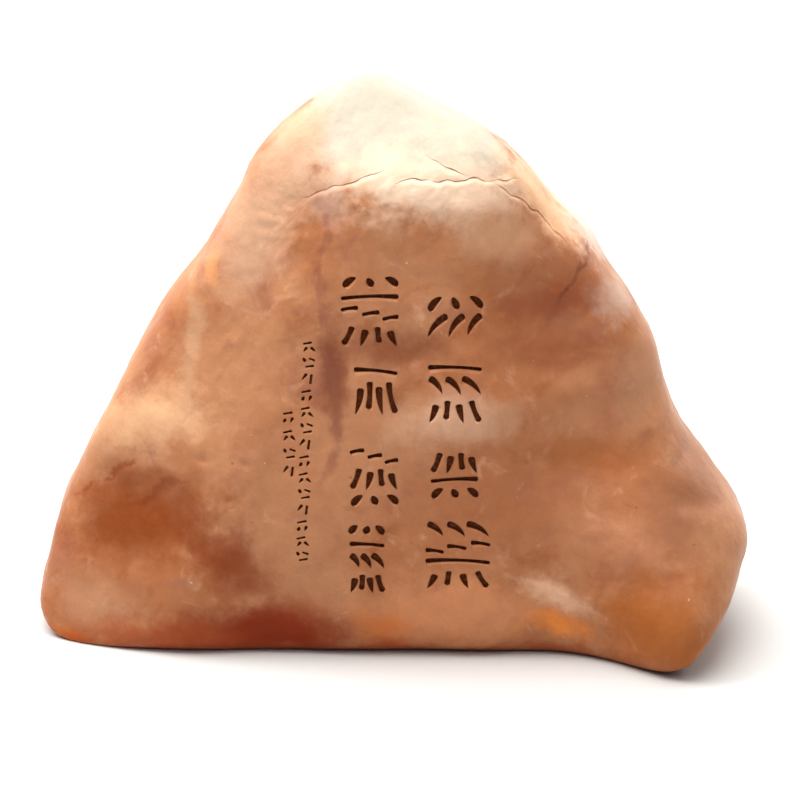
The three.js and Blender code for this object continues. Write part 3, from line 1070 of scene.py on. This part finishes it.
@dataclass
class WornSkin:
    """The small relief of worn stone: soft unevenness all over, and the marks that show on the front."""

    unevenness: float = 0.42
    unevenness_length: float = 17
    grit: float = 0.08
    grit_length: float = 2.6
    base_hold: float = 3
    dents: tuple[Dent, ...] = (
        Dent("cheek on the left", (-60, 59), (18, 6.7), -22, 1.2),
        Dent("hollow under the cheek", (-63, 39), (17, 6.3), -8, -1.3),
        Dent("low swelling on the left", (-70, 19), (15, 5.7), 10, 0.9),
        Dent("low hollow on the left", (-45, 25), (11, 5), 25, -0.8),
        Dent("brow on the right", (36, 99), (18, 5.2), 5, 0.9),
        Dent("hollow under the brow", (39, 84), (21, 6.7), 0, -1.0),
        Dent("swelling right of the strokes", (41, 67), (22, 4.7), -4, 0.8),
        Dent("hollow on the right", (51, 52), (17, 4.6), 4, -0.7),
        Dent("low swelling on the right", (49, 37), (20, 6.1), 8, 0.7),
        Dent("hollow by the right foot", (64, 23), (12, 5.9), 0, -0.9),
        Dent("ridge of the pale veil", (41, 17), (12, 2.2), 32, 0.5),
        Dent("hollow under the veil", (45, 9), (9.8, 2.8), 20, -0.4),
        Dent("brow under the fissure", (9, 114), (22, 4.2), 3, 0.5),
        Dent("mauve hollow", (-16, 110), (3.9, 5.1), 0, -0.6),
        Dent("hollow right of the vein", (-13, 70), (2.9, 15), 4, -0.5),
        Dent("swelling left of the vein", (-26, 71), (7.3, 17), 4, 0.4),
        Dent("hollow in the middle", (2, 79), (12, 4.3), 0, -0.5),
        Dent("swelling in the middle", (14, 61), (15, 5.4), -4, 0.5),
        Dent("dent at the right edge", (74, 40), (5.4, 2.2), 20, -0.7),
        Dent("nick at the right edge", (73, 48), (2, 1.3), -30, -0.5),
        Dent("bead at the right edge", (64, 56), (2.2, 0.9), 0, 0.3),
        Dent("pearl low on the right", (51, 34), (2.2, 1.3), 0, 0.3),
        Dent("chip on the left edge", (-75, 47), (1, 1.3), 0, -0.5),
        Dent("first pit on the left", (-47, 50), (1.7, 0.9), 0, -0.4),
        Dent("second pit on the left", (-39, 51), (1.2, 0.9), 20, -0.35),
        Dent("third pit on the left", (-36, 50), (1.5, 0.9), 15, -0.4),
        Dent("first pit in the hollow", (-60, 35), (1.2, 1), 0, -0.4),
        Dent("second pit in the hollow", (-55, 41), (2.2, 0.9), 0, -0.35),
        Dent("pit low in the middle", (-30, 32), (2, 0.9), 0, -0.3),
    )
    folds: tuple[Fold, ...] = (
        Fold("ridge of the right shoulder", ((21.7, 128.6), (26.4, 124.5), (32.8, 117.1), (41.4, 107), (49.2, 98.8)), 0, 0.3),
        Fold("first scratch on the left", ((-33.6, 110.2), (-30.8, 109.3), (-27.9, 108.5), (-24.9, 108.8)), -0.15, 0.25),
        Fold("second scratch on the left", ((-36.4, 103.3), (-34.8, 101.1), (-33.8, 99.9)), -0.15, 0.2),
        Fold("step by the vein", ((-15, 108), (-16.9, 99.9), (-17.2, 90.9), (-16.8, 80), (-15.1, 66.5), (-17.2, 46.8)), 0.14, -0.14),
        Fold("fold under the cheek", ((-78.6, 35.4), (-73.7, 39.2), (-67.9, 43.3), (-64.2, 46.6)), -0.3, 0.3),
        Fold("fold in the hollow", ((-77.5, 37), (-71.7, 36.4), (-66.3, 36.9), (-61.8, 39.7)), -0.2, 0.25),
        Fold("curl", ((24.8, 86.4), (27, 87.3), (29.7, 85.8), (31, 84)), -0.15, 0.2, tip=1),
        Fold("upper line under the brow", ((31.2, 92.7), (37.4, 90.6), (44.9, 93.4)), -0.15, 0.2),
        Fold("lower line under the brow", ((31.3, 77.8), (41.2, 75.5), (48.7, 76.7), (56.8, 75.4)), -0.15, 0.2),
        Fold("edge of the veil", ((29.7, 21.9), (36.7, 19.2), (44.1, 16.2), (51, 11.8)), 0.2, -0.15),
        Fold("line at the right dent", ((66.5, 41.4), (69.9, 39.2), (75.5, 37.1)), -0.2, 0.25),
    )
    wrinkles: tuple[Wrinkle, ...] = (
        Wrinkle("skin of the upper left", (-25, 106), (12, 8), 0.2, 3.6),
        Wrinkle("end of the fissure", (28, 121), (5, 3), 0.25, 2.6),
        Wrinkle("ridge under the cheek", (-69, 41), (9, 4), 0.35, 4),
        Wrinkle("skin under the fissure", (2, 112), (18, 7), 0.1, 2.4),
        Wrinkle("skin of the left flank", (-42, 81), (15, 15), 0.08, 3),
        Wrinkle("skin of the veil", (42, 16), (13, 7), 0.14, 3.4),
        Wrinkle("skin under the brow", (36, 84), (15, 10), 0.14, 3.8),
    )

    def rough(self, points: np.ndarray, length: float, octaves: int) -> np.ndarray:
        """Gives natural unevenness of a middle length at each point, of about -1 to 1."""
        flat = (points / length).reshape(-1, 3)
        values = (noise.fractal(Vector(place), 0.9, 2.1, octaves) for place in flat)
        return np.fromiter(values, float, len(flat)).reshape(points.shape[:-1])

    def apply(self, points: np.ndarray, folds: Iterable[Fold]) -> np.ndarray:
        """Pushes the surface points in and out along their normals.

        Args:
            points: Surface points by ring and column, in millimetres.
            folds: Further folds, beside the skin's own.

        Returns:
            The points with their relief, unchanged at the base.
        """
        along = np.gradient(points, axis=0)
        around = (np.roll(points, -1, axis=1) - np.roll(points, 1, axis=1)) / 2
        normals = np.cross(around, along)
        normals /= np.maximum(np.linalg.norm(normals, axis=-1, keepdims=True), 1e-9)
        height = self.unevenness * self.rough(points, self.unevenness_length, 4)
        height += self.grit * self.rough(points + 500, self.grit_length, 2)
        marks = sum(mark.height(points) for mark in (*self.dents, *self.folds, *folds))
        for wrinkle in self.wrinkles:
            reach = Dent(wrinkle.name, wrinkle.middle, wrinkle.reach, 0, wrinkle.push).height(points)
            near = reach > 0.02 * wrinkle.push
            reach[near] *= 2 * self.rough(points[near] + 90, wrinkle.spacing, 3)
            marks += np.where(near, reach, 0)
        facing = smooth(np.clip((-normals[..., 1] - 0.1) / 0.4, 0, 1))
        height += marks * facing
        hold = smooth(np.clip(points[..., 2] / self.base_hold, 0, 1))
        return points + normals * (height * hold)[..., None]


@dataclass
class EngravedStone:
    """The stone itself: its fine mesh, the strokes and fissures cut into it, and its finishes."""

    form: StoneForm = field(default_factory=StoneForm)
    inscription: Inscription = field(default_factory=Inscription)
    fissures: Fissures = field(default_factory=Fissures)
    stone: PolishedStone = field(default_factory=PolishedStone)
    paint: EngravingPaint = field(default_factory=EngravingPaint)
    seam: SeamShade = field(default_factory=SeamShade)
    skin: WornSkin = field(default_factory=WornSkin)
    ring_step: float = 0.76
    fine_step: float = 0.38
    fine_heights: Pair = (105, 124)
    front_columns: int = 212
    back_columns: int = 60
    side_columns: int = 34
    cutter_clear: float = 0.4
    floor_share: float = 0.75
    sharp_angle: float = 35

    def directions(self) -> np.ndarray:
        """Gives the columns' directions, anticlockwise round a square, closer towards its corners."""

        def spread(count: int) -> np.ndarray:
            t = 2 * np.arange(count) / count - 1
            return (t + np.sin(math.pi * t / 2)) / 2

        side, back, front = spread(self.side_columns), spread(self.back_columns), spread(self.front_columns)
        sides = (
            (np.ones_like(side), side),
            (-back, np.ones_like(back)),
            (-np.ones_like(side), -side),
            (front, -np.ones_like(front)),
        )
        return np.concatenate([np.stack(pair, -1) for pair in sides])

    def positions(self) -> np.ndarray:
        """Gives the rings' slice positions, a ring step apart on the surface and closer by the fissures."""
        table = np.array(self.form.slices)
        places = [0.0]
        for i in range(len(table) - 1):
            rise = table[i + 1, 0] - table[i, 0]
            inward = np.abs(table[i + 1, 1:] - table[i, 1:]).max()
            low, high = self.fine_heights
            fine = low < (table[i, 0] + table[i + 1, 0]) / 2 < high
            count = max(4, round(math.hypot(rise, 0.6 * inward) / (self.fine_step if fine else self.ring_step)))
            places += [i + (k + 1) / count for k in range(count)]
        return np.array(places)

    def body_mesh(self) -> bpy.types.Mesh:
        """Builds the uncut stone."""
        plain = self.form.surface(self.positions(), self.directions())
        rings = self.skin.apply(plain, self.fissures.lips())
        count = rings.shape[1]
        points, faces, slots = loft(list(rings), [Face.STONE] * count, Face.STONE)
        mesh = make_mesh("stone_body", points, faces, slots)
        LOG.info("stone body: %d points", len(points))
        return mesh

    def cutter_rings(self, groove: Groove, front: Callable[[float, float], float]) -> list[np.ndarray]:
        """Works out a cutter's rings, from above the face down to the floor of its groove."""
        outward = np.array((0.0, -1.0, 0.0))
        depth, bevel = groove.gauge.depth, groove.gauge.bevel
        flare = bevel * (self.cutter_clear + bevel) / max(bevel, 1e-6)
        rings = []
        for i, (x, z, half) in enumerate(groove.stations):
            x0, z0, _ = groove.stations[max(i - 1, 0)]
            x1, z1, _ = groove.stations[min(i + 1, len(groove.stations) - 1)]
            side = np.cross(np.array((x1 - x0, 0.0, z1 - z0)), outward)
            side /= np.linalg.norm(side)
            skin = np.array((x, front(x, z), z))
            share = min(1.0, half / (0.25 * groove.gauge.brush_width))
            floor = depth * (0.45 + 0.55 * share)
            profile = (
                (self.cutter_clear, half + flare),
                (-bevel, half),
                (-floor, half * self.floor_share),
                (-floor, -half * self.floor_share),
                (-bevel, -half),
                (self.cutter_clear, -half - flare),
            )
            rings.append(np.array([skin + out * outward + aside * side for out, aside in profile]))
        return rings

    def seam_rings(self, groove: Groove, front: Callable[[float, float], float]) -> list[np.ndarray]:
        """Works out a fissure cutter's rings, a notch with a steep upper wall."""
        outward = np.array((0.0, -1.0, 0.0))
        rings = []
        for i, (x, z, half) in enumerate(groove.stations):
            x0, z0, _ = groove.stations[max(i - 1, 0)]
            x1, z1, _ = groove.stations[min(i + 1, len(groove.stations) - 1)]
            side = np.cross(np.array((x1 - x0, 0.0, z1 - z0)), outward)
            side /= np.linalg.norm(side)
            skin = np.array((x, front(x, z), z))
            floor = groove.gauge.depth * half / (groove.gauge.bar_width / 2)
            opening = half * (1 + self.cutter_clear / floor)
            profile = (
                (self.cutter_clear, opening * 1.3),
                (-floor, -half * 0.2),
                (-floor, -half * 0.5),
                (self.cutter_clear, -opening * 0.8),
            )
            rings.append(np.array([skin + out * outward + aside * side for out, aside in profile]))
        return rings

    def cut(self, stone: bpy.types.Object, cutters: list[tuple[list, list, list]], name: str) -> None:
        """Cuts a layer of cutters out of the stone and keeps the result as its mesh."""
        points: list = []
        faces: list = []
        slots: list = []
        for new_points, new_faces, new_slots in cutters:
            start = len(points)
            points += new_points
            faces += [tuple(start + k for k in face) for face in new_faces]
            slots += new_slots
        tool = bpy.data.objects.new(name, make_mesh(name, points, faces, slots))
        bpy.context.scene.collection.objects.link(tool)
        for material in stone.data.materials:
            tool.data.materials.append(material)
        modifier = stone.modifiers.new(name, "BOOLEAN")
        modifier.operation = "DIFFERENCE"
        modifier.solver = "MANIFOLD"
        modifier.object = tool
        graph = bpy.context.evaluated_depsgraph_get()
        result = bpy.data.meshes.new_from_object(stone.evaluated_get(graph))
        stone.modifiers.clear()
        old, stone.data = stone.data, result
        bpy.data.meshes.remove(old)
        mesh = tool.data
        bpy.data.objects.remove(tool)
        bpy.data.meshes.remove(mesh)

    def build(self) -> bpy.types.Object:
        """Builds the stone and cuts its strokes and fissures.

        Returns:
            The stone as one mesh object at the origin.
        """
        body = self.body_mesh()
        stone = bpy.data.objects.new("engraved_stone", body)
        bpy.context.scene.collection.objects.link(stone)
        for finish in (self.stone, self.paint, self.seam):
            body.materials.append(finish.material())
        corners = [v.co for v in body.vertices]
        tree = BVHTree.FromPolygons(corners, [p.vertices[:] for p in body.polygons])

        def front(x: float, z: float) -> float:
            hit = tree.ray_cast(Vector((x * MM, -1, z * MM)), Vector((0, 1, 0)))[0]
            return hit.y / MM

        stroke_sides = (Face.STONE, Face.PAINT, Face.PAINT, Face.PAINT, Face.STONE, Face.STONE)
        # The fissure cutters' upper wall and floor take the seam's painted shade; the lower wall, which catches the
        # light, keeps the stone.
        seam_sides = (Face.STONE, Face.SEAM, Face.SEAM, Face.STONE)
        layers: dict[int, list] = {}
        for groove in self.inscription.grooves():
            rings = self.cutter_rings(groove, front)
            layers.setdefault(groove.layer, []).append(loft(rings, stroke_sides, Face.PAINT))
        for groove in self.fissures.grooves():
            rings = self.seam_rings(groove, front)
            layers.setdefault(10 + groove.layer, []).append(loft(rings, seam_sides, Face.SEAM))
        for layer, cutters in sorted(layers.items()):
            self.cut(stone, cutters, f"cutters_{layer}")
            LOG.info("layer %d: %d cutters", layer, len(cutters))
        mesh = stone.data
        mesh.name = "engraved_stone"
        mesh.polygons.foreach_set("use_smooth", [True] * len(mesh.polygons))
        mesh.set_sharp_from_angle(angle=math.radians(self.sharp_angle))
        mesh.calc_loop_triangles()
        LOG.info("engraved stone: %d triangles", len(mesh.loop_triangles))
        return stone


@dataclass
class Studio:
    """Plain pale floor, soft light from above and to the left, and a camera at the photograph's angle."""

    target: Triple = (1.94, 5.45, 57.8)
    elevation: float = 18
    distance: float = 700
    lens: float = 123.7
    floor_size: float = 8.0
    floor_colour: str = "#CFCDCA"
    world_strength: float = 0.15

    def camera(self) -> bpy.types.Object:
        """Places the camera."""
        lens = bpy.data.cameras.new("camera")
        lens.lens = self.lens
        lens.sensor_width = 36
        lens.clip_start = 0.01
        camera = bpy.data.objects.new("camera", lens)
        tilt = math.radians(self.elevation)
        back = Vector((0, -math.cos(tilt), math.sin(tilt)))
        camera.location = Vector(self.target) * MM + back * self.distance * MM
        camera.rotation_mode = "QUATERNION"
        camera.rotation_quaternion = (-back).to_track_quat("-Z", "Y")
        bpy.context.scene.collection.objects.link(camera)
        bpy.context.scene.camera = camera
        return camera

    def softbox(self, name: str, place: Triple, aim: Triple, size: Pair, power: float, colour: str = "#FFFFFF") -> None:
        """Hangs one rectangular softbox.

        Args:
            name: Name of the light.
            place: Where it hangs, in metres.
            aim: The point that it faces.
            size: Its width and height in metres.
            power: Its power in watts.
            colour: Its colour.
        """
        light = bpy.data.lights.new(name, "AREA")
        light.shape = "RECTANGLE"
        light.size, light.size_y = size
        light.energy = power
        light.color = linear(colour)[:3]
        lamp = bpy.data.objects.new(name, light)
        lamp.location = place
        lamp.rotation_mode = "QUATERNION"
        lamp.rotation_quaternion = (Vector(aim) - Vector(place)).to_track_quat("-Z", "Y")
        bpy.context.scene.collection.objects.link(lamp)

    def floor(self) -> bpy.types.Object:
        """Lays the pale floor."""
        half = self.floor_size / 2 / MM
        corners = ((-half, -half, 0), (half, -half, 0), (half, half, 0), (-half, half, 0))
        floor = bpy.data.objects.new("floor", make_mesh("floor", corners, [(0, 1, 2, 3)]))
        bpy.context.scene.collection.objects.link(floor)
        paper = bpy.data.materials.new("pale_paper")
        paper.use_nodes = True
        paper.node_tree.nodes.clear()
        shader = add_node(
            paper.node_tree, "ShaderNodeBsdfPrincipled", {"Base Color": linear(self.floor_colour), "Roughness": 0.8}
        )
        add_node(paper.node_tree, "ShaderNodeOutputMaterial", {"Surface": shader.outputs["BSDF"]})
        floor.data.materials.append(paper)
        return floor

    def build(self) -> None:
        """Sets up the floor, the lights and the camera."""
        world = bpy.data.worlds.new("studio")
        bpy.context.scene.world = world
        world.use_nodes = True
        world.node_tree.nodes.clear()
        sky = add_node(
            world.node_tree, "ShaderNodeBackground", {"Color": linear("#FFFFFF"), "Strength": self.world_strength}
        )
        add_node(world.node_tree, "ShaderNodeOutputWorld", {"Surface": sky.outputs["Background"]})
        bpy.context.scene.view_settings.view_transform = "Standard"
        self.floor()
        middle = (0.0, 0.0, 0.08)
        self.softbox("overhead", (0.0, 0.0, 0.85), middle, (0.6, 0.6), 8.0)
        self.softbox("upper_left", (-0.5, 0.05, 0.7), middle, (0.5, 0.5), 6.0)
        self.softbox("upper_front", (0.0, -0.5, 0.8), middle, (0.5, 0.5), 2.0)
        self.softbox("right_rim", (0.6, 0.55, 0.35), middle, (0.3, 0.4), 1.8)
        self.softbox("left_rim", (-0.6, 0.55, 0.35), middle, (0.3, 0.4), 0.6)
        self.softbox("backdrop", (0.0, 1.9, 1.3), (0.0, 1.9, 0.0), (3.0, 1.6), 70.0)
        self.camera()


def main() -> None:
    """Builds the studio and the stone, and ties the stone to its solid."""
    logging.basicConfig(level=logging.INFO, format="%(name)s: %(message)s")
    Studio().build()
    stone = EngravedStone().build()
    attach(stone, "root")
    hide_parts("stone")
    LOG.info("piece %s stands for the node stone", stone.name)


if __name__ == "__main__":
    main()
